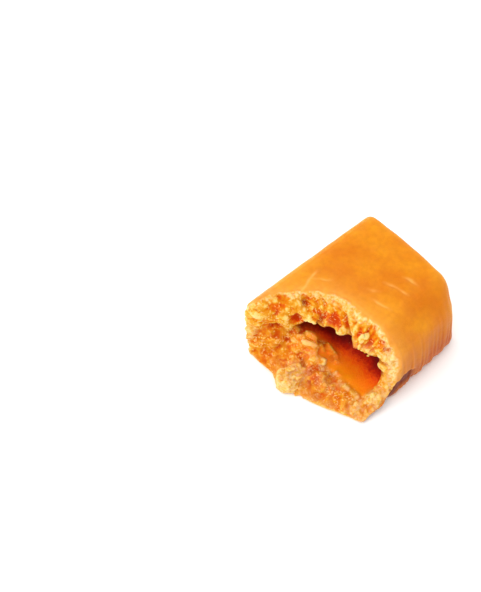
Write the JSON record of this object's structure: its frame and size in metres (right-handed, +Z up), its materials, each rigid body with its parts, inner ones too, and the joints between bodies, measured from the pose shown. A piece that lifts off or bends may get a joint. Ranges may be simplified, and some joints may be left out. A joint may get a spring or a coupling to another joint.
{
  "type": "torn caramel candy half",
  "caption": "Half of a soft grainy caramel candy torn in two, with a smooth moulded skin and a crumbly torn end round a small hollow.",
  "frame": {"origin": "middle of the bounding box in plan, at the height of the resting face", "axes": "+X across the block to its right wall, +Y along the block to its moulded end, +Z up; the torn end faces -Y"},
  "size_m": [0.0212, 0.0268, 0.0128],
  "materials": {
    "caramel": "satin"
  },
  "bodies": {
    "root": {"caramel_half": "caramel"}
  },
  "joints": []
}
